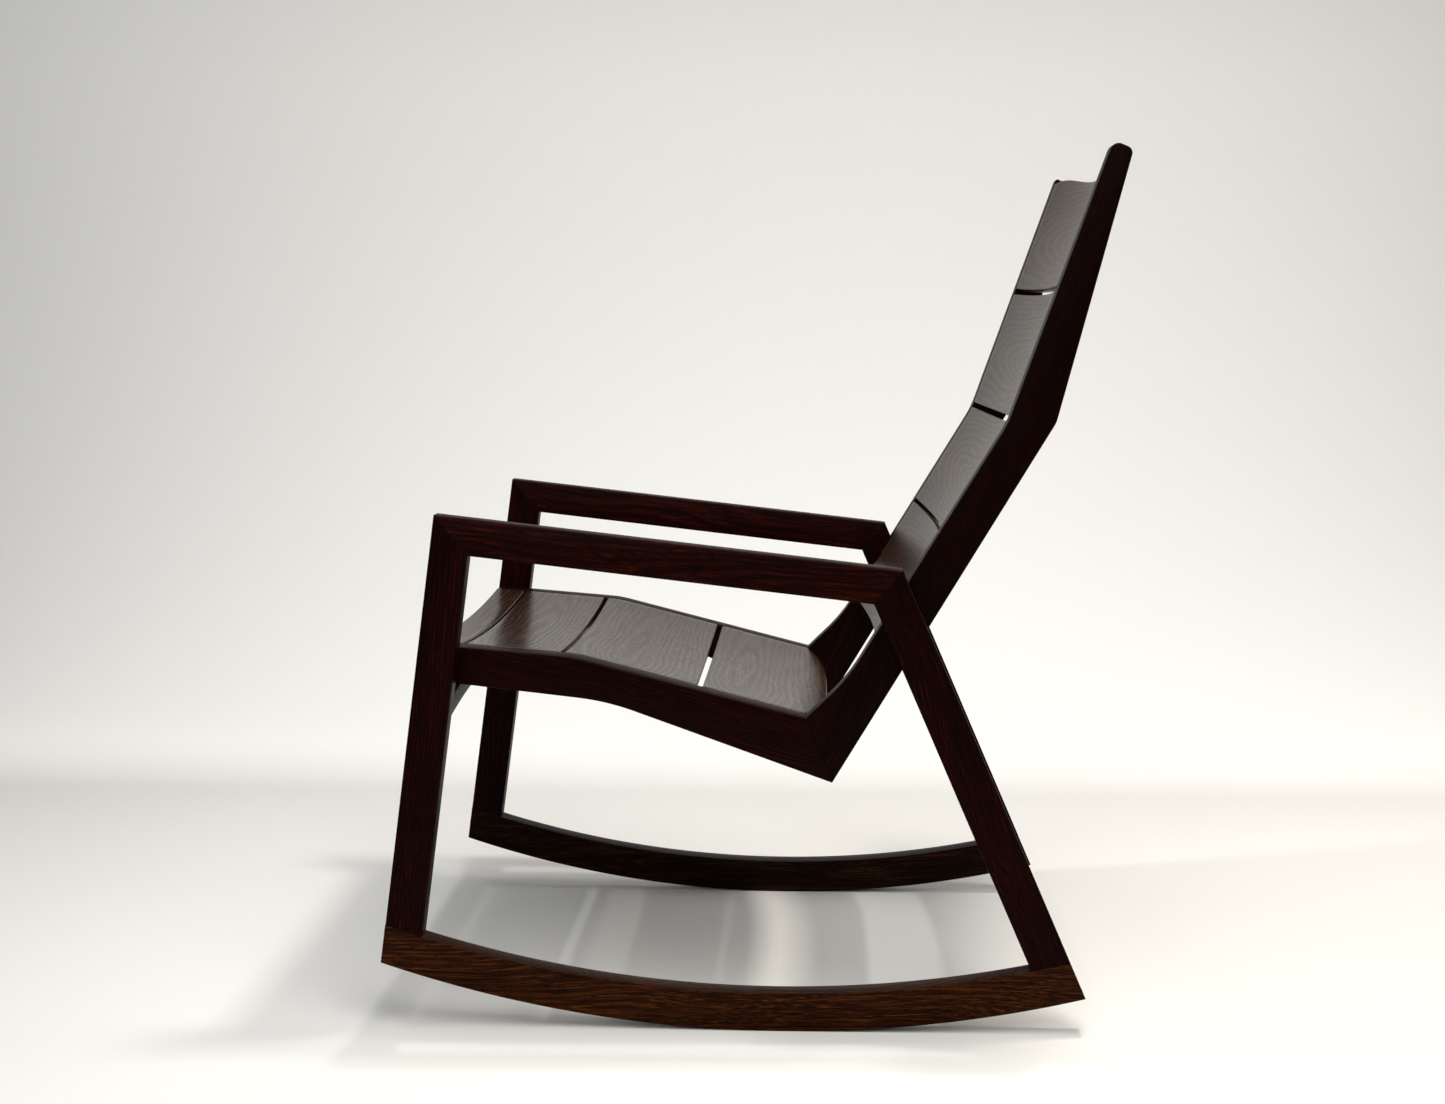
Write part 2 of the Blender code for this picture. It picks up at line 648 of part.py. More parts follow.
def build_stretcher(parts, tools, materials, made):
    """An arched rail between the front legs, let into both with a square tenon."""
    half = FRAME_INNER - GAP
    steps = DISH_STEPS * 2
    bm = bmesh.new()
    grid = []
    for i in range(steps + 1):
        x = half * (2 * i / steps - 1)
        z = STRETCHER_FOOT + STRETCHER_RISE * (1 - (x / half) ** 2)
        plane = []
        for y in (STRETCHER_REAR - STRETCHER_DEPTH, STRETCHER_REAR):
            plane.append([bm.verts.new((x, y, z + STRETCHER_HEIGHT)), bm.verts.new((x, y, z))])
        grid.append(plane)
    skin(bm, grid)
    stretcher = new_object("front_stretcher", bm, parts, materials["rail wood"])
    ease_edges(stretcher, EDGE_ROUND)
    length, height, depth = STRETCHER_TENON
    y = STRETCHER_REAR - STRETCHER_DEPTH / 2
    z = STRETCHER_FOOT + STRETCHER_HEIGHT / 2
    tenons = []
    for side, label in ((1, "left"), (-1, "right")):
        outline = slab_outline((y, z), (0.0, 1.0), height, depth)
        bm = bmesh.new()
        add_plate(bm, outline, side * (half - length), side * (half + length))
        tenons.append(make_cutter(f"tenon stretcher {label}", bm, tools))
        bm = bmesh.new()
        add_plate(bm, widen(outline, GAP), side * (half - length), side * (half + length + GAP * 2))
        cut_with(made[label, "front_leg"], make_cutter(f"mortise stretcher {label}", bm, tools))
    join_solids(stretcher, tenons)


def bolt_profile(side):
    """A low flat head in its recess and a plain shank that ends inside the insert."""
    head = RAIL_INNER + BOLT_RECESS - BOLT_HEAD_HEIGHT
    tip = FRAME_INNER + GAP + INSERT_LENGTH - BOLT_SHORT
    return [(side * x, r) for x, r in ((head, 0.0), (head, BOLT_HEAD_RADIUS),
                                       (RAIL_INNER + BOLT_RECESS, BOLT_HEAD_RADIUS),
                                       (RAIL_INNER + BOLT_RECESS, BOLT_RADIUS), (tip, BOLT_RADIUS),
                                       (tip, 0.0))]


def insert_profile(side):
    inner = BOLT_RADIUS + BOLT_CLEARANCE
    near = FRAME_INNER + GAP
    far = near + INSERT_LENGTH
    return [(side * x, r) for x, r in ((near, inner), (near, INSERT_RADIUS), (far, INSERT_RADIUS),
                                       (far, inner), (near, inner))]


def hole_profile(side, steps):
    return [(side * steps[0][0], 0.0)] + [(side * x, r) for x, r in steps] + [(side * steps[-1][0], 0.0)]


def build_bolts(parts, tools, materials, made):
    plan = [("seat", "seat_rail", "front_leg", SEAT_BOLTS), ("back", "back_rail", "rear_leg", BACK_BOLTS)]
    for side, label in ((1, "left"), (-1, "right")):
        for kind, rail, leg, places in plan:
            for place, level in zip(places, ("one", "two")):
                bm = bmesh.new()
                add_round(bm, bolt_profile(side), place, ROUND_STEPS)
                new_object(f"{label}_{kind}_bolt_{level}", bm, parts, materials["bolt steel"])
                bm = bmesh.new()
                add_round(bm, insert_profile(side), place, ROUND_STEPS)
                new_object(f"{label}_{kind}_insert_{level}", bm, parts, materials["insert brass"])
                ease = BOLT_CLEARANCE
                rail_hole = [(RAIL_INNER - OVERRUN, BOLT_HEAD_RADIUS + ease),
                             (RAIL_INNER + BOLT_RECESS + GAP, BOLT_HEAD_RADIUS + ease),
                             (RAIL_INNER + BOLT_RECESS + GAP, BOLT_RADIUS + ease),
                             (RAIL_OUTER + OVERRUN, BOLT_RADIUS + ease)]
                bm = bmesh.new()
                add_round(bm, hole_profile(side, rail_hole), place, ROUND_STEPS)
                cut_with(made[label, rail], make_cutter(f"hole {label} {kind} {level}", bm, tools))
                leg_hole = [(FRAME_INNER - OVERRUN, INSERT_RADIUS + GAP),
                            (FRAME_INNER + INSERT_LENGTH + GAP * 2, INSERT_RADIUS + GAP)]
                bm = bmesh.new()
                add_round(bm, hole_profile(side, leg_hole), place, ROUND_STEPS)
                cut_with(made[label, leg], make_cutter(f"socket {label} {kind} {level}", bm, tools))


def centre_on_floor(parts):
    """Slide the whole chair so that the origin is under the middle of its outer box."""
    bpy.context.view_layer.update()
    graph = bpy.context.evaluated_depsgraph_get()
    ys = []
    for item in parts.objects:
        shape = item.evaluated_get(graph)
        mesh = shape.to_mesh()
        ys += [v.co.y for v in mesh.vertices]
        shape.to_mesh_clear()
    middle = (min(ys) + max(ys)) / 2
    for item in bpy.data.objects:
        item.location.y -= middle
    return middle


def main():
    clear_scene()
    parts = make_collection("rocking_chair")
    tools = make_collection("cutters")
    materials = make_materials()
    made = build_frames(parts, tools, materials)
    build_rails(parts, tools, materials, made)
    build_slats(parts, tools, materials, made)
    build_stretcher(parts, tools, materials, made)
    build_bolts(parts, tools, materials, made)
    shift = centre_on_floor(parts)
    print("pieces:", len(parts.objects), "shift along Y:", round(-shift * 1000, 2), "mm")


main()
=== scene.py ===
# %% [markdown]
# Rocking chair in dark oiled walnut.  The chair is two closed side frames (leg, arm, leg and a
# curved rocker), and a bent seat and back frame that hangs between them and carries eight dished
# slats.  This first step loads the measured model as a fixed frame, and everything made below is
# placed by its sizes.

# %% Load the frame
import math

import bmesh
import bpy
from mathutils import Matrix, Vector


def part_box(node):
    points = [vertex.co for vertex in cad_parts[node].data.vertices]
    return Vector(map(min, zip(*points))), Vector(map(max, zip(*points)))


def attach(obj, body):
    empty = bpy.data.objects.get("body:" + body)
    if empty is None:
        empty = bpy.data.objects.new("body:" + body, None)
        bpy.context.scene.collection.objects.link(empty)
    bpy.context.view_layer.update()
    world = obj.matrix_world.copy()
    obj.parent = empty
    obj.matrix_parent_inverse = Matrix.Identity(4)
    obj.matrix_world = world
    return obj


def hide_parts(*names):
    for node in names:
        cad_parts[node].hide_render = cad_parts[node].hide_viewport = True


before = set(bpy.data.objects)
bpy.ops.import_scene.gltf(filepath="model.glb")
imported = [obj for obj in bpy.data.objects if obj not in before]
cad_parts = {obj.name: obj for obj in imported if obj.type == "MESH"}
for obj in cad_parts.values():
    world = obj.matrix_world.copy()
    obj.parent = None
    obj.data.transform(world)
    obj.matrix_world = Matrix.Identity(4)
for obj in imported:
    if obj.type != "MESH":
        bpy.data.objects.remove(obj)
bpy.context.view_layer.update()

print("pieces in the frame:", len(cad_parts))

# %% [markdown]
# A chair like this is drawn in side view first.  The same few numbers set the legs, the arms and
# the curve of the rockers, so they are kept together here, in metres, with y = 0 where the
# rockers touch the floor.  The frame's own origin is under the middle of the chair, so one
# slide along Y is read from the stretcher, whose rear face is known in both.

# %% Sizes of the side view
STRETCHER_REAR = -0.395
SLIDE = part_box("front_stretcher")[1].y - STRETCHER_REAR
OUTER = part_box("left_arm")[1].x
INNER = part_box("left_arm")[0].x
RAIL_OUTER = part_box("left_back_rail")[1].x
RAIL_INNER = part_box("left_back_rail")[0].x
GAP = 0.0003

ROCKER_RADIUS = 1.508
ROCKER_DEPTH = 0.046
FRONT_TOP, FRONT_FOOT = (-0.404, 0.620), (-0.478, 0.078)
REAR_TOP, REAR_FOOT = (0.146, 0.5565), (0.366, 0.046)
FRONT_LEG_DEPTH, REAR_LEG_DEPTH, ARM_DEPTH = 0.0455, 0.0465, 0.0437

SEAT_FRONT, SEAT_BEND, CORNER = (-0.423, 0.4620), (-0.243, 0.4470), (0.034, 0.3755)
BACK_LOW, BACK_HIGH, BACK_TOP = (0.0828, 0.4229), (0.268, 0.7260), (0.3835, 1.0500)
UNDER_FRONT, UNDER_BEND, HEEL = (-0.423, 0.4185), (-0.205, 0.3940), (0.065, 0.2970)
REAR_BEND, REAR_END = (0.324, 0.7270), (0.4065, 1.0400)
print("slide along Y:", round(SLIDE * 1000, 2), "mm")
print("rails from", round(RAIL_INNER, 4), "to", round(RAIL_OUTER, 4))

# %% [markdown]
# Every material needs the same two helpers.  Paint and timber colours are written as sRGB hex,
# the way a colour picker shows them, and the shader wants linear light, so one function turns
# one into the other.  The second adds a node, sets it and wires it in one line, which keeps a
# material readable from top to bottom.

# %% Colour and node helpers
def linear(hex_colour):
    channels = []
    for i in (1, 3, 5):
        c = int(hex_colour[i:i + 2], 16) / 255
        channels.append(c / 12.92 if c <= 0.04045 else ((c + 0.055) / 1.055) ** 2.4)
    return (*channels, 1.0)


def put(tree, kind, inputs=None, **settings):
    node = tree.nodes.new(kind)
    for key, value in settings.items():
        setattr(node, key, value)
    for key, value in (inputs or {}).items():
        if isinstance(value, bpy.types.NodeSocket):
            tree.links.new(value, node.inputs[key])
        else:
            node.inputs[key].default_value = value
    return node


print("white is", linear("#ffffff"))

# %% [markdown]
# Black walnut, sawn, planed, sanded and rubbed with oil: dark brown heartwood with darker growth
# rings, fine fibre and short open pores that run with the grain.  The oil leaves it satin, so a
# face seen at a low angle picks up a grey sheen from a bright room.  The pattern is made in the
# board's own directions: one Mapping node turns it until its Y runs along the board.  Rings
# are drawn about a pith line that lies just under or beside the board, as in a plain-sawn
# plank, and that gives the long flames.  Ring spacing is 4 to 8 mm, a fibre about 1 mm across and
# 90 mm long, and a pore 0.3 mm by 6 mm in life, drawn 0.9 mm by 14 mm because finer does not show.

# %% Walnut
def walnut(name, turn, pith, deep, middle, bright, ring=0.0042, rough=0.42, bump=0.25, figure=0.12,
           shine=0.03, spread=0.05):
    """Oiled walnut whose grain runs along the board after the turn; pith is (across, depth)."""
    material = bpy.data.materials.new(name)
    material.use_nodes = True
    tree = material.node_tree
    tree.nodes.clear()
    place = put(tree, "ShaderNodeTexCoord")
    board = put(tree, "ShaderNodeMapping", {"Vector": place.outputs["Object"], "Rotation": turn,
                                            "Location": (-pith[0], 0.0, -pith[1])})
    # growth rings about the pith, bent by a slow drift along the board
    drift = put(tree, "ShaderNodeMapping", {"Vector": board.outputs[0], "Scale": (7.0, 1.6, 7.0)})
    wander = put(tree, "ShaderNodeTexNoise", {"Vector": drift.outputs[0], "Scale": 1.0, "Detail": 2.0})
    centred = put(tree, "ShaderNodeVectorMath", {0: wander.outputs["Color"], 1: (0.5, 0.5, 0.5)},
                  operation="SUBTRACT")
    sway = put(tree, "ShaderNodeVectorMath", {0: centred.outputs[0], 1: (0.075, 0.0, 0.075)},
               operation="MULTIPLY")
    bent = put(tree, "ShaderNodeVectorMath", {0: board.outputs[0], 1: sway.outputs[0]}, operation="ADD")
    rings = put(tree, "ShaderNodeTexWave",
                {"Vector": bent.outputs[0], "Scale": 2 * math.pi / (20 * ring), "Distortion": 0.6,
                 "Detail": 2.0, "Detail Scale": 0.06, "Detail Roughness": 0.6},
                wave_type="RINGS", rings_direction="Y", wave_profile="SIN")
    # fibre, pores and slow colour drift, all stretched along the board
    fibre_at = put(tree, "ShaderNodeMapping", {"Vector": bent.outputs[0], "Scale": (900.0, 11.0, 900.0)})
    fibre = put(tree, "ShaderNodeTexNoise", {"Vector": fibre_at.outputs[0], "Scale": 1.0, "Detail": 3.0,
                                             "Roughness": 0.6})
    pore_at = put(tree, "ShaderNodeMapping", {"Vector": board.outputs[0], "Scale": (1100.0, 70.0, 1100.0)})
    pore = put(tree, "ShaderNodeTexNoise", {"Vector": pore_at.outputs[0], "Scale": 1.0, "Detail": 1.0})
    pores = put(tree, "ShaderNodeMapRange", {"Value": pore.outputs["Fac"], "From Min": 0.60,
                                             "From Max": 0.68, "To Min": 0.0, "To Max": 1.0})
    patch_at = put(tree, "ShaderNodeMapping", {"Vector": bent.outputs[0], "Scale": (22.0, 3.5, 22.0)})
    patch = put(tree, "ShaderNodeTexNoise", {"Vector": patch_at.outputs[0], "Scale": 1.0, "Detail": 2.0})
    # early wood is brighter than late wood; fibre breaks the rings up
    mixed = put(tree, "ShaderNodeMath", {0: fibre.outputs["Fac"], 1: 0.96, 2: 0.5 - 0.48 - figure / 2},
                operation="MULTIPLY_ADD")
    grain = put(tree, "ShaderNodeMath", {0: rings.outputs["Fac"], 1: figure, 2: mixed.outputs[0]},
                operation="MULTIPLY_ADD")
    colour = put(tree, "ShaderNodeValToRGB", {"Fac": grain.outputs[0]})
    ramp = colour.color_ramp
    ramp.elements[0].position, ramp.elements[0].color = 0.30, linear(deep)
    ramp.elements[1].position, ramp.elements[1].color = 0.72, linear(bright)
    ramp.elements.new(0.52).color = linear(middle)
    shade = put(tree, "ShaderNodeMapRange", {"Value": patch.outputs["Fac"], "From Min": 0.3,
                                             "From Max": 0.7, "To Min": 0.72, "To Max": 1.25})
    toned = put(tree, "ShaderNodeVectorMath", {0: colour.outputs["Color"], "Scale": shade.outputs[0]},
                operation="SCALE")
    open_pores = put(tree, "ShaderNodeMix", {"Factor": pores.outputs[0], "A": toned.outputs[0],
                                             "B": linear("#0a0403")}, data_type="RGBA")
    gloss = put(tree, "ShaderNodeMapRange", {"Value": grain.outputs[0], "From Min": 0.2, "From Max": 0.9,
                                             "To Min": rough + spread, "To Max": rough - spread})
    relief = put(tree, "ShaderNodeMath", {0: pores.outputs[0], 1: -0.7, 2: grain.outputs[0]},
                 operation="MULTIPLY_ADD")
    surface = put(tree, "ShaderNodeBump", {"Strength": bump, "Distance": 0.0004, "Height": relief.outputs[0]})
    shader = put(tree, "ShaderNodeBsdfPrincipled",
                 {"Base Color": open_pores.outputs[2], "Roughness": gloss.outputs[0],
                  "Normal": surface.outputs[0], "IOR": 1.5, "Specular IOR Level": shine})
    put(tree, "ShaderNodeOutputMaterial", {"Surface": shader.outputs[0]})
    return material


def along(a, b):
    """The turn that lays a board's Y along the line a-b of the side view."""
    return (-math.atan2(b[1] - a[1], b[0] - a[0]), 0.0, 0.0)


ACROSS = (0.0, 0.0, math.pi / 2)      # grain across the chair, for slats and stretcher
LEG_TONES = ("#050000", "#130100", "#2b0700")
FRONT_WOOD = walnut("oiled walnut, front leg", along(FRONT_FOOT, FRONT_TOP), (0.22, 0.62), *LEG_TONES)
REAR_WOOD = walnut("oiled walnut, rear leg", along(REAR_FOOT, REAR_TOP), (0.22, 0.30), *LEG_TONES)
ARM_WOOD = walnut("oiled walnut, arm", along(FRONT_TOP, REAR_TOP), (0.20, 0.50),
                  "#070000", "#180200", "#350e04")
ROCKER_WOOD = walnut("oiled walnut, rocker", along((-1, 0), (1, 0)), (0.23, -0.05), "#120400", "#2c1204",
                     "#5c3213", ring=0.006, figure=0.08)
# The right rocker's darker tones are painted shade, standing in for shade that the lamps leave out.
SHADE_PAINTED_ROCKER_WOOD = walnut("oiled walnut, rocker with painted shade", along((-1, 0), (1, 0)), (0.21, -0.04),
                          "#080200", "#160802", "#36200d", ring=0.006, figure=0.08)
SEAT_RAIL_WOOD = walnut("oiled walnut, seat rail", along(SEAT_BEND, CORNER), (0.20, 0.20), *LEG_TONES)
BACK_RAIL_WOOD = walnut("oiled walnut, back rail", along(BACK_LOW, BACK_TOP), (0.20, 0.33),
                        "#030000", "#0c0100", "#200500")
STRETCHER_WOOD = walnut("oiled walnut, stretcher", ACROSS, (0.30, 0.30), *LEG_TONES)
print("walnut boards:", sum(m.name.startswith("oiled") for m in bpy.data.materials))

# %% [markdown]
# Side-view geometry.  Three small tools are enough for every flat piece: where two lines cross,
# a line moved sideways by the width of a board, and a chain of corners with the bends drawn as
# arcs.  Boards are drawn as outlines with these, and then cut out.

# %% Drawing tools
def meet(a, b, c, d):
    r = (b[0] - a[0], b[1] - a[1])
    s = (d[0] - c[0], d[1] - c[1])
    t = ((c[0] - a[0]) * s[1] - (c[1] - a[1]) * s[0]) / (r[0] * s[1] - r[1] * s[0])
    return (a[0] + r[0] * t, a[1] + r[1] * t)


def beside(a, b, distance):
    length = math.dist(a, b)
    ny, nz = -(b[1] - a[1]) / length * distance, (b[0] - a[0]) / length * distance
    return (a[0] + ny, a[1] + nz), (b[0] + ny, b[1] + nz)


def rounded(corners, step=math.radians(1.2)):
    """(y, z, radius) corners become points, each radius drawn as an arc."""
    points = []
    for i, (y, z, radius) in enumerate(corners):
        if radius <= 0 or i in (0, len(corners) - 1):
            points.append((y, z))
            continue
        here = Vector((y, z))
        back = (Vector(corners[i - 1][:2]) - here).normalized()
        ahead = (Vector(corners[i + 1][:2]) - here).normalized()
        opening = back.angle(ahead)
        centre = here + (back + ahead).normalized() * (radius / math.sin(opening / 2))
        start = here + back * (radius / math.tan(opening / 2)) - centre
        turn = 1.0 if back.x * ahead.y - back.y * ahead.x < 0 else -1.0
        count = max(4, math.ceil((math.pi - opening) / (step if radius > 0.02 else step * 7)))
        for k in range(count + 1):
            spun = Matrix.Rotation(turn * (math.pi - opening) * k / count, 2) @ start
            points.append(tuple(centre + spun))
    return points


def rocker_height(y, depth):
    return ROCKER_RADIUS - math.sqrt((ROCKER_RADIUS - depth) ** 2 - y * y)


def foot(a, b, depth):
    """Where the line a-b comes down onto the rocker's curve, found by halving."""
    low, high = 0.0, 1.2
    for _ in range(60):
        mid = (low + high) / 2
        y, z = a[0] + (b[0] - a[0]) * mid, a[1] + (b[1] - a[1]) * mid
        low, high = (mid, high) if z > rocker_height(y, depth) else (low, mid)
    return (a[0] + (b[0] - a[0]) * low, a[1] + (b[1] - a[1]) * low)


print("lines at right angles meet at", meet((0, 0), (1, 0), (0.5, -1), (0.5, 1)))

# %% [markdown]
# A board is an outline filled with one face, pushed across to its thickness, and then eased
# along its edges with a small round, as a hand with sandpaper leaves it.  Edges that lie in a
# glued joint stay square so that the joint closes flush.  The finished mesh is shaded smooth
# with its real corners kept sharp.

# %% Board tools
def in_joint(edge, joints):
    for a, b in joints:
        span = math.dist(a, b)
        if all(abs((b[0] - a[0]) * (v.co.z - a[1]) - (b[1] - a[1]) * (v.co.y - a[0])) / span < 0.0006
               for v in edge.verts):
            return True
    return False


def ease(bm, width, joints=(), segments=3):
    edges = [e for e in bm.edges if e.calc_face_angle(0.0) > math.radians(32) and not in_joint(e, joints)]
    bmesh.ops.bevel(bm, geom=edges, offset=width, offset_type="OFFSET", affect="EDGES", segments=segments,
                    profile=0.5, material=-1, clamp_overlap=True)


def finish(name, bm, material, replaced=None):
    """Place the mesh in the frame, shade it, and let it ride on the chair."""
    bmesh.ops.remove_doubles(bm, verts=bm.verts[:], dist=1e-6)
    bmesh.ops.recalc_face_normals(bm, faces=bm.faces[:])
    bmesh.ops.translate(bm, verts=bm.verts[:], vec=(0.0, SLIDE, 0.0))
    mesh = bpy.data.meshes.new(name)
    bm.to_mesh(mesh)
    bm.free()
    mesh.shade_smooth()
    mesh.set_sharp_from_angle(angle=math.radians(40))
    mesh.materials.append(material)
    piece = bpy.data.objects.new(name, mesh)
    bpy.context.scene.collection.objects.link(piece)
    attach(piece, "root")
    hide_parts(replaced or name)
    piece.name = name
    return piece


BOARD_EASE = 0.0024


def board(outline, x_from, x_to, width=BOARD_EASE, joints=()):
    bm = bmesh.new()
    verts = [bm.verts.new((x_from, y, z)) for y, z in outline]
    edges = [bm.edges.new(pair) for pair in zip(verts, verts[1:] + verts[:1])]
    face = bmesh.ops.edgenet_fill(bm, edges=edges)["faces"]
    grown = bmesh.ops.extrude_face_region(bm, geom=face)["geom"]
    moved = [g for g in grown if isinstance(g, bmesh.types.BMVert)]
    bmesh.ops.translate(bm, verts=moved, vec=(x_to - x_from, 0.0, 0.0))
    bmesh.ops.recalc_face_normals(bm, faces=bm.faces[:])
    ease(bm, width, joints)
    return bm


print("boards are eased by", BOARD_EASE * 1000, "mm")

# %% [markdown]
# The side frame: the front leg leans back a little, the rear leg leans much more, and the arm
# slopes down from one to the other.  Arm and legs meet in mitres, cut from the outer corner to the
# inner one.  Both legs stand on the rocker, which runs through under them as two concentric arcs, so
# its end grain shows at both tips.

# %% Corners of the side frame
front = (FRONT_TOP, FRONT_FOOT)
front_in = beside(*front, FRONT_LEG_DEPTH)
rear = (REAR_TOP, REAR_FOOT)
rear_in = beside(*rear, -REAR_LEG_DEPTH)
arm_in = beside(FRONT_TOP, REAR_TOP, -ARM_DEPTH)
inner_front = meet(*front_in, *arm_in)
inner_rear = meet(*rear_in, *arm_in)
foot_front, foot_front_in = foot(*front, ROCKER_DEPTH), foot(*front_in, ROCKER_DEPTH)
foot_rear, foot_rear_in = foot(*rear, ROCKER_DEPTH), foot(*rear_in, ROCKER_DEPTH)
tip_front, tip_rear = foot(*front, 0.0), foot(*rear, 0.0)
mitre_front, mitre_rear = (FRONT_TOP, inner_front), (REAR_TOP, inner_rear)
frame_joints = (mitre_front, mitre_rear, (foot_front, foot_front_in), (foot_rear, foot_rear_in))
print("rocker from", [round(c, 3) for c in tip_front], "to", [round(c, 3) for c in tip_rear])

# %% [markdown]
# A small clearance is left where boards meet, so that a joint shows as a fine line.  Each outline
# is read off the side view and cut once for the left and once for the right.  The right rocker is
# given a darker wood, which stands in for shade that the lamps leave out.

# %% Legs, arms and rockers
def raised(point):
    return (point[0], point[1] + GAP)


leg_line, arm_line = beside(*mitre_front, -GAP / 2), beside(*mitre_front, GAP / 2)
front_leg = [meet(*leg_line, *front), meet(*leg_line, *front_in), raised(foot_front_in), raised(foot_front)]
leg_line, arm_rear_line = beside(*mitre_rear, GAP / 2), beside(*mitre_rear, -GAP / 2)
rear_leg = [meet(*leg_line, *rear_in), meet(*leg_line, *rear), raised(foot_rear), raised(foot_rear_in)]
arm = [meet(*arm_line, FRONT_TOP, REAR_TOP), meet(*arm_rear_line, FRONT_TOP, REAR_TOP),
       meet(*arm_rear_line, *arm_in), meet(*arm_line, *arm_in)]
lower = [tip_front[0] + (tip_rear[0] - tip_front[0]) * i / 72 for i in range(73)]
upper = [foot_rear_in[0] + (foot_front_in[0] - foot_rear_in[0]) * i / 60 for i in range(61)]
rocker = [(y, rocker_height(y, 0.0)) for y in lower] + [foot_rear]
rocker += [(y, rocker_height(y, ROCKER_DEPTH)) for y in upper] + [foot_front]
frame_plan = (("front_leg", front_leg, FRONT_WOOD, "leg wood"), ("rear_leg", rear_leg, REAR_WOOD, "leg wood"),
              ("arm", arm, ARM_WOOD, "arm wood"), ("rocker", rocker, ROCKER_WOOD, "rocker wood"))
for side, label in ((1, "left"), (-1, "right")):
    for piece, outline, wood, slot in frame_plan:
        # the right rocker takes the darker wood with its painted shade
        if (side, piece) == (-1, "rocker"):
            wood = SHADE_PAINTED_ROCKER_WOOD
        made = board(outline, side * INNER, side * OUTER, joints=frame_joints)
        finish(f"{label}_{piece}_wood", made, wood, f"{label}_{piece}")
print("side frames:", 2 * len(frame_plan), "boards")

# %% [markdown]
# The seat rail and the back rail are each one board.  The seat rail bends gently behind the knee
# and is arched underneath; the back rail leans back, bends again behind the shoulders and tapers
# to its tip, which is round on the left.  They meet in a mitre at the heel.

# %% Seat and back rails
heel_joint = (CORNER, HEEL)
seat_cut, back_cut = beside(*heel_joint, -GAP / 2), beside(*heel_joint, GAP / 2)
seat_top = rounded([(*SEAT_FRONT, 0), (*SEAT_BEND, 0.160), (*meet(*seat_cut, SEAT_BEND, CORNER), 0)])
seat_rail = seat_top + rounded([(*meet(*seat_cut, UNDER_BEND, HEEL), 0), (*UNDER_BEND, 0.300),
                                (*UNDER_FRONT, 0)])
back_heel = meet(*back_cut, HEEL, REAR_BEND)


def back_rail_outline(tip_radius):
    return rounded([(*back_heel, 0), (*meet(*back_cut, CORNER, BACK_LOW), 0), (*BACK_LOW, 0.220),
                    (*BACK_HIGH, 0.140), (*BACK_TOP, tip_radius), (*REAR_END, 0.0084), (*REAR_BEND, 0.030),
                    (*back_heel, 0)])[:-1]


TIP_RADIUS = {1: 0.0095, -1: 0.0025}      # the right rail is left nearly square at the tip
RAIL_EASE = 0.0022
for side, label in ((1, "left"), (-1, "right")):
    back_rail = back_rail_outline(TIP_RADIUS[side])
    for piece, outline, wood in (("seat_rail", seat_rail, SEAT_RAIL_WOOD),
                                 ("back_rail", back_rail, BACK_RAIL_WOOD)):
        made = board(outline, side * RAIL_INNER, side * RAIL_OUTER, RAIL_EASE, (heel_joint,))
        finish(f"{label}_{piece}_wood", made, wood, f"{label}_{piece}")
print("rail outlines:", len(seat_rail), "and", len(back_rail), "points")

# %% [markdown]
# A slat is a plank dished across its span, so that it fits a back.  Its upper face follows the
# line of the rails, so a path object walks along that line and gives the place and the direction
# square to it.  The rear seat slat reaches back in the middle.  The crest of the back dips, and
# its two ends are trimmed, as those of the measured slat are not.

# %% A path to lay slats on
class Path:
    def __init__(self, points):
        self.points = points
        self.marks = [0.0]
        for a, b in zip(points, points[1:]):
            self.marks.append(self.marks[-1] + math.dist(a, b))

    def at(self, length):
        i = 0
        while i < len(self.points) - 2 and length > self.marks[i + 1]:
            i += 1
        a, b = self.points[i], self.points[i + 1]
        t = (length - self.marks[i]) / (self.marks[i + 1] - self.marks[i])
        return (a[0] + (b[0] - a[0]) * t, a[1] + (b[1] - a[1]) * t)

    def inward(self, length):
        a, b = self.at(length - 0.002), self.at(length + 0.002)
        d = math.dist(a, b)
        return ((b[1] - a[1]) / d, -(b[0] - a[0]) / d)


seat_path = Path(rounded([(*SEAT_FRONT, 0), (*SEAT_BEND, 0.160), (*CORNER, 0)]))
back_path = Path(rounded([(*CORNER, 0), (*BACK_LOW, 0.220), (*BACK_HIGH, 0.140), (*BACK_TOP, 0)]))
print("seat line", round(seat_path.marks[-1], 4), "m, back line", round(back_path.marks[-1], 4), "m")

# %% [markdown]
# A slat starts as a flat grid.  The grid is bent onto the path, sunk in the middle for the dish,
# and thickened inward, which is simpler than bending a finished board.  Each slat gets its own
# growth rings, as no two planks match.  The front seat slat shines less than the others, a painted
# darkening that stands in for the dark reflection of the far front leg on it.

# %% Slats
SEAT_SLATS = ((0.0000, 0.0403), (0.0438, 0.1584), (0.1644, 0.3296), (0.3371, 0.4660))
BACK_SLATS = ((0.1030, 0.2655), (0.2707, 0.4250), (0.4320, 0.5950), (0.6030, 0.7645))
BACK_DISHES = (0.024, 0.018, 0.015, 0.018, 0.028)
SEAT_TAIL, CREST_SCOOP, CREST_SHOULDER, CREST_TRIM = 0.030, 0.0173, 0.0063, 0.0060
SLAT_TONES = ("#160b07", "#281810", "#3f2b20")
SEAT_SLAT_THICK, BACK_SLAT_THICK, SEAT_DISH, SLAT_EASE = 0.018, 0.014, 0.010, 0.0016
ROW_LENGTH = 0.010      # one row of faces for each centimetre along the path


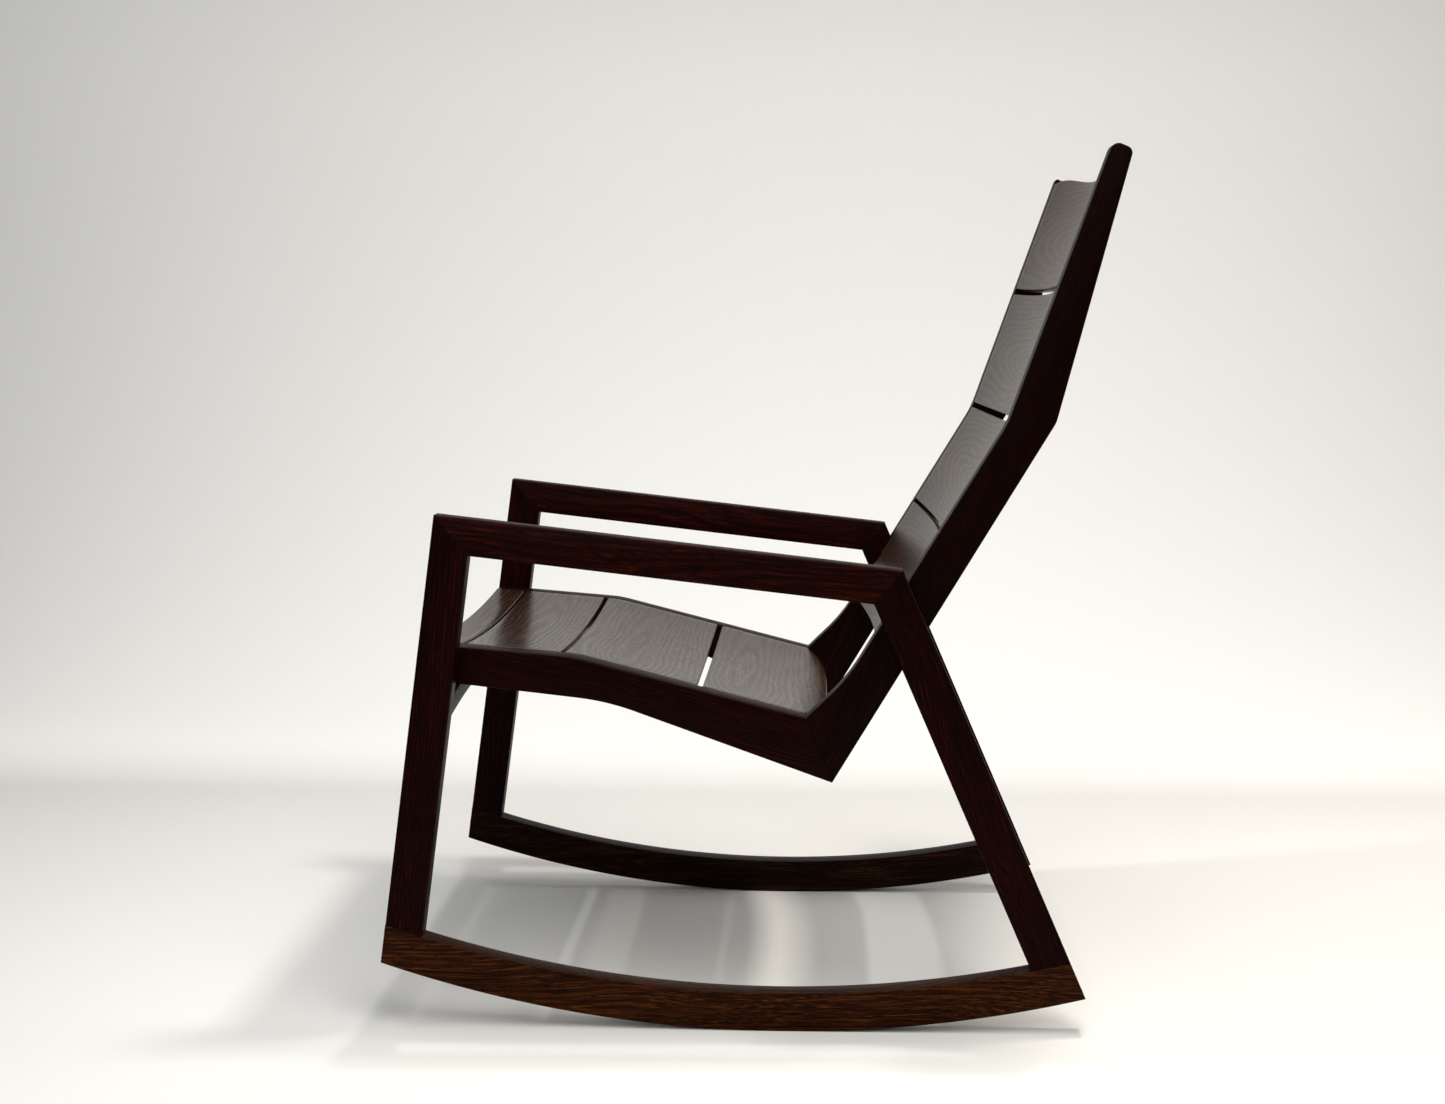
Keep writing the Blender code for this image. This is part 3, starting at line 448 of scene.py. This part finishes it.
def slat(path, span, thick, dish, slide, plumb=False):
    """A flat grid bent onto the path and thickened inward; plumb cuts the far edge upright."""
    bm = bmesh.new()
    rows = max(2, round((span[1] - span[0]) / ROW_LENGTH))
    bmesh.ops.create_grid(bm, x_segments=40, y_segments=rows, size=1.0)
    sink = {}
    for vert in bm.verts:
        u, v = vert.co.x, (vert.co.y + 1) / 2
        length = span[0] + (span[1] - span[0]) * v
        y, z = path.at(length)
        ny, nz = path.inward(length)
        sag, shift = dish(u, v), slide(u, v)
        vert.co = (u * (RAIL_INNER - GAP), y + ny * sag - nz * shift, z + nz * sag + ny * shift)
        upright = plumb and v > 0.999
        sink[vert.index] = Vector((0.0, 0.0, 1 / nz) if upright else (0.0, ny, nz)) * thick
    bm.verts.ensure_lookup_table()
    top = bm.verts[:]
    offsets = [sink[v.index] for v in top]
    places = {tuple(round(c, 7) for c in v.co): s for v, s in zip(top, offsets)}
    grown = bmesh.ops.extrude_face_region(bm, geom=bm.faces[:])["geom"]
    for vert in (g for g in grown if isinstance(g, bmesh.types.BMVert)):
        vert.co += places[tuple(round(c, 7) for c in vert.co)]
    bmesh.ops.recalc_face_normals(bm, faces=bm.faces[:])
    ease(bm, SLAT_EASE)
    return bm


for kind, path, spans, thick in (("seat", seat_path, SEAT_SLATS, SEAT_SLAT_THICK),
                                 ("back", back_path, BACK_SLATS, BACK_SLAT_THICK)):
    for i, span in enumerate(spans):
        low, high = (SEAT_DISH, SEAT_DISH) if kind == "seat" else BACK_DISHES[i:i + 2]
        tail = SEAT_TAIL if (kind, i) == ("seat", 3) else 0.0
        scoop, shoulder = (CREST_SCOOP, CREST_SHOULDER) if (kind, i) == ("back", 3) else (0.0, 0.0)
        bm = slat(path, span, thick, lambda u, v: (low + (high - low) * v) * (1 - u * u),
                  lambda u, v: v * (tail * (1 - u ** 4) + (shoulder - scoop * (1 - u * u)) * (1 - u * u)
                                    - (CREST_TRIM * u ** 12 if scoop else 0.0)),
                  plumb=tail > 0)
        y, z = path.at(sum(span) / 2)
        ny, nz = path.inward(path.marks[-1] / 2)
        away = 0.045 + 0.015 * (i % 2)
        pith = (-(y + SLIDE) - ny * away + 0.012 * (i - 1), z + nz * away)
        # painted shade: the front seat slat's lower shine dims it, standing in for the dark reflection of the
        # far front leg on it
        wood = walnut(f"oiled walnut, {kind} slat {i + 1}", ACROSS, pith, *SLAT_TONES,
                      ring=0.0050 + 0.0008 * i,
                      rough=0.27 if kind == "seat" else 0.34, bump=0.10, figure=0.15,
                      shine=0.08 if (kind, i) == ("seat", 0) else 0.15 if kind == "seat" else 0.20,
                      spread=0.05)
        finish(f"{kind}_slat_{i + 1}_wood", bm, wood, f"{kind}_slat_{i + 1}")
print("slats:", len(SEAT_SLATS) + len(BACK_SLATS))

# %% [markdown]
# The front stretcher ties the front legs together under the seat.  It is a slim bar sawn to an
# arch, so a box is cut into short lengths and each cut is lifted onto the curve.

# %% Front stretcher
half = INNER - GAP
STRETCHER_DEEP, STRETCHER_HIGH, STRETCHER_FOOT, STRETCHER_RISE = 0.026, 0.023, 0.369, 0.020
STRETCHER_PARTS, STRETCHER_EASE = 32, 0.0022
bm = bmesh.new()
bmesh.ops.create_cube(bm, size=1.0)
bmesh.ops.scale(bm, vec=(2 * half, STRETCHER_DEEP, STRETCHER_HIGH), verts=bm.verts[:])
long_edges = [e for e in bm.edges if abs(e.verts[0].co.x - e.verts[1].co.x) > half]
bmesh.ops.subdivide_edges(bm, edges=long_edges, cuts=STRETCHER_PARTS - 1, use_grid_fill=True)
for vert in bm.verts:
    vert.co.y += STRETCHER_REAR - STRETCHER_DEEP / 2
    vert.co.z += STRETCHER_FOOT + STRETCHER_HIGH / 2 + STRETCHER_RISE * (1 - (vert.co.x / half) ** 2)
ease(bm, STRETCHER_EASE)
finish("front_stretcher_wood", bm, STRETCHER_WOOD, "front_stretcher")
print("stretcher:", round(2 * half, 4), "m long")

# %% [markdown]
# The joinery is hidden: loose tenons and splines of plain sawn wood, and bolts with their inserts.
# The measured solids are right as they are, so they only get their finishes.  The boards made
# above have no mortises or bolt recesses, so the joinery lies inside solid wood.  Zinc plate on
# steel is a dull blue grey, and drawn brass is yellow with a fine turned surface, about 1 mm in
# pitch, that breaks its shine a little.

# %% Joinery finishes
def plain_metal(name, colour, rough):
    material = bpy.data.materials.new(name)
    material.use_nodes = True
    tree = material.node_tree
    shader = tree.nodes["Principled BSDF"]
    shader.inputs["Metallic"].default_value = 1.0
    shader.inputs["Base Color"].default_value = linear(colour)
    place = put(tree, "ShaderNodeTexCoord")
    turned = put(tree, "ShaderNodeTexNoise", {"Vector": place.outputs["Object"], "Scale": 900.0, "Detail": 2.0})
    gloss = put(tree, "ShaderNodeMapRange", {"Value": turned.outputs["Fac"], "To Min": rough - 0.08,
                                             "To Max": rough + 0.12})
    tree.links.new(gloss.outputs[0], shader.inputs["Roughness"])
    return material


STEEL = plain_metal("zinc plated steel", "#9a9b9e", 0.38)
BRASS = plain_metal("drawn brass", "#b08d4a", 0.36)
TENON_WOOD = walnut("sawn walnut, joinery", ACROSS, (0.3, 0.2), "#5a3a24", "#7a5336", "#94694a", rough=0.6)
for name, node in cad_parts.items():
    finish_of = STEEL if "bolt" in name else BRASS if "insert" in name else TENON_WOOD
    if any(word in name for word in ("bolt", "insert", "tenon", "spline")):
        for shelf in node.material_slots:
            shelf.link = "OBJECT"
            shelf.material = finish_of
print("hidden joinery finished")

# %% [markdown]
# A pale paper sweep: floor and wall in one sheet with a large curve between them, so there is no
# horizon.  Background paper is pulp with a fine tooth, about 3 mm as drawn, so it is matt all over.

# %% Paper sweep
FLOOR_START, CURVE_START, CURVE_RADIUS, WALL_TOP, HALF_WIDTH = 8.0, -1.5, 1.6, 5.0, 6.0
bm = bmesh.new()
sweep = [(FLOOR_START, 0.0), (CURVE_START, 0.0)]
for k in range(1, 19):
    turn = math.radians(5 * k)
    sweep.append((CURVE_START - CURVE_RADIUS * math.sin(turn), CURVE_RADIUS * (1 - math.cos(turn))))
sweep.append((CURVE_START - CURVE_RADIUS, WALL_TOP))
verts = [bm.verts.new((x, -HALF_WIDTH, z)) for x, z in sweep]
edges = [bm.edges.new(pair) for pair in zip(verts, verts[1:])]
grown = bmesh.ops.extrude_edge_only(bm, edges=edges)["geom"]
far_side = [g for g in grown if isinstance(g, bmesh.types.BMVert)]
bmesh.ops.translate(bm, verts=far_side, vec=(0.0, 2 * HALF_WIDTH, 0.0))
mesh = bpy.data.meshes.new("paper_sweep")
bm.to_mesh(mesh)
bm.free()
mesh.shade_smooth()
paper = bpy.data.objects.new("paper_sweep", mesh)
bpy.context.scene.collection.objects.link(paper)
paper_finish = bpy.data.materials.new("matt background paper")
paper_finish.use_nodes = True
paper_shader = paper_finish.node_tree.nodes["Principled BSDF"]
paper_shader.inputs["Base Color"].default_value = linear("#e9e8e4")
paper_tree = paper_finish.node_tree
paper_place = put(paper_tree, "ShaderNodeTexCoord")
pulp = put(paper_tree, "ShaderNodeTexNoise", {"Vector": paper_place.outputs["Object"], "Scale": 300.0,
                                              "Detail": 2.0})
tooth = put(paper_tree, "ShaderNodeMapRange", {"Value": pulp.outputs["Fac"], "To Min": 0.86, "To Max": 0.94})
paper_tree.links.new(tooth.outputs[0], paper_shader.inputs["Roughness"])
mesh.materials.append(paper_finish)
print("sweep points:", len(sweep))

# %% [markdown]
# One small lamp overhead draws the thin bright streaks that fall through the gaps in the seat.  A
# lamp to the right throws the long shadow to the left, and a wide panel fills the floor in front.
# The wall is lit from low down and from its two upper corners.

# %% Lights
def panel(name, place, target, width, depth, power, colour="#ffffff"):
    lamp = bpy.data.lights.new(name, "AREA")
    lamp.shape = "RECTANGLE"
    lamp.size, lamp.size_y = width, depth
    lamp.energy = power
    lamp.color = linear(colour)[:3]
    item = bpy.data.objects.new(name, lamp)
    item.location = place
    item.rotation_euler = (Vector(target) - Vector(place)).to_track_quat("-Z", "Y").to_euler()
    bpy.context.scene.collection.objects.link(item)
    return item


panel("overhead_panel", (0.0, SLIDE - 0.18, 1.9), (0.0, SLIDE - 0.18, 0.0), 0.05, 0.05, 6)
panel("right_panel", (0.05, SLIDE + 0.55, 2.3), (0.0, SLIDE + 0.05, 0.0), 0.26, 0.26, 25, "#fff8ee")
panel("left_panel", (0.0, SLIDE - 1.15, 2.3), (0.0, SLIDE - 0.5, 0.0), 0.7, 0.7, 5, "#eef3ff")
panel("front_panel", (1.50, SLIDE + 0.60, 2.3), (1.30, SLIDE + 0.50, 0.0), 1.2, 2.6, 46, "#fffdf8")
panel("low_panel", (-0.30, SLIDE + 2.5, 0.85), (0.0, SLIDE, 0.05), 1.0, 0.7, 14, "#fffaf0")
panel("low_front_panel", (2.2, SLIDE - 0.55, 1.25), (0.0, SLIDE - 0.15, 0.0), 1.0, 0.5, 7)
panel("wall_panel", (-0.9, SLIDE + 0.25, 0.9), (-3.0, SLIDE + 0.25, 0.9), 4.4, 0.6, 27)
panel("wall_left_panel", (-1.3, -1.9, 3.0), (-3.0, -2.0, 1.8), 1.6, 0.8, 6, "#f0f6ff")
panel("wall_right_panel", (-1.3, 1.7, 3.2), (-3.0, 1.7, 1.8), 2.0, 0.8, 5, "#fff0dc")
world = bpy.data.worlds.new("studio air")
world.use_nodes = True
tree = world.node_tree
tree.nodes.clear()
seen = put(tree, "ShaderNodeLightPath")
dim = put(tree, "ShaderNodeBackground", {"Color": linear("#eef0f4"), "Strength": 0.25})
pale = put(tree, "ShaderNodeBackground", {"Color": linear("#e6e6e1"), "Strength": 1.0})
air = put(tree, "ShaderNodeMixShader", {"Fac": seen.outputs["Is Camera Ray"], 1: dim.outputs[0],
                                        2: pale.outputs[0]})
put(tree, "ShaderNodeOutputWorld", {"Surface": air.outputs[0]})
bpy.context.scene.world = world
bpy.context.scene.view_settings.view_transform = "Standard"
print("lights:", len(bpy.data.lights))

# %% [markdown]
# The camera stands to the sitter's left, a little above the arms, and looks slightly down.

# %% Camera
EYE, FOCAL, SENSOR = (2.5021, 0.0441 + SLIDE, 0.8216), 47.26339, 36.0
YAW, PITCH, ROLL = math.radians(2.821), math.radians(6.330), math.radians(-0.109)
forward = Vector((-math.cos(PITCH) * math.cos(YAW), -math.cos(PITCH) * math.sin(YAW), -math.sin(PITCH)))
right = Vector((-math.sin(YAW), math.cos(YAW), 0.0))
up = right.cross(forward)
right, up = (right * math.cos(ROLL) + up * math.sin(ROLL), up * math.cos(ROLL) - right * math.sin(ROLL))
lens = bpy.data.cameras.new("side_camera")
lens.sensor_width = SENSOR
lens.lens = FOCAL
camera = bpy.data.objects.new("side_camera", lens)
camera.matrix_world = Matrix((right, up, -forward)).transposed().to_4x4()
camera.location = EYE
bpy.context.scene.collection.objects.link(camera)
bpy.context.scene.camera = camera
print("lens:", round(lens.lens, 2), "mm")
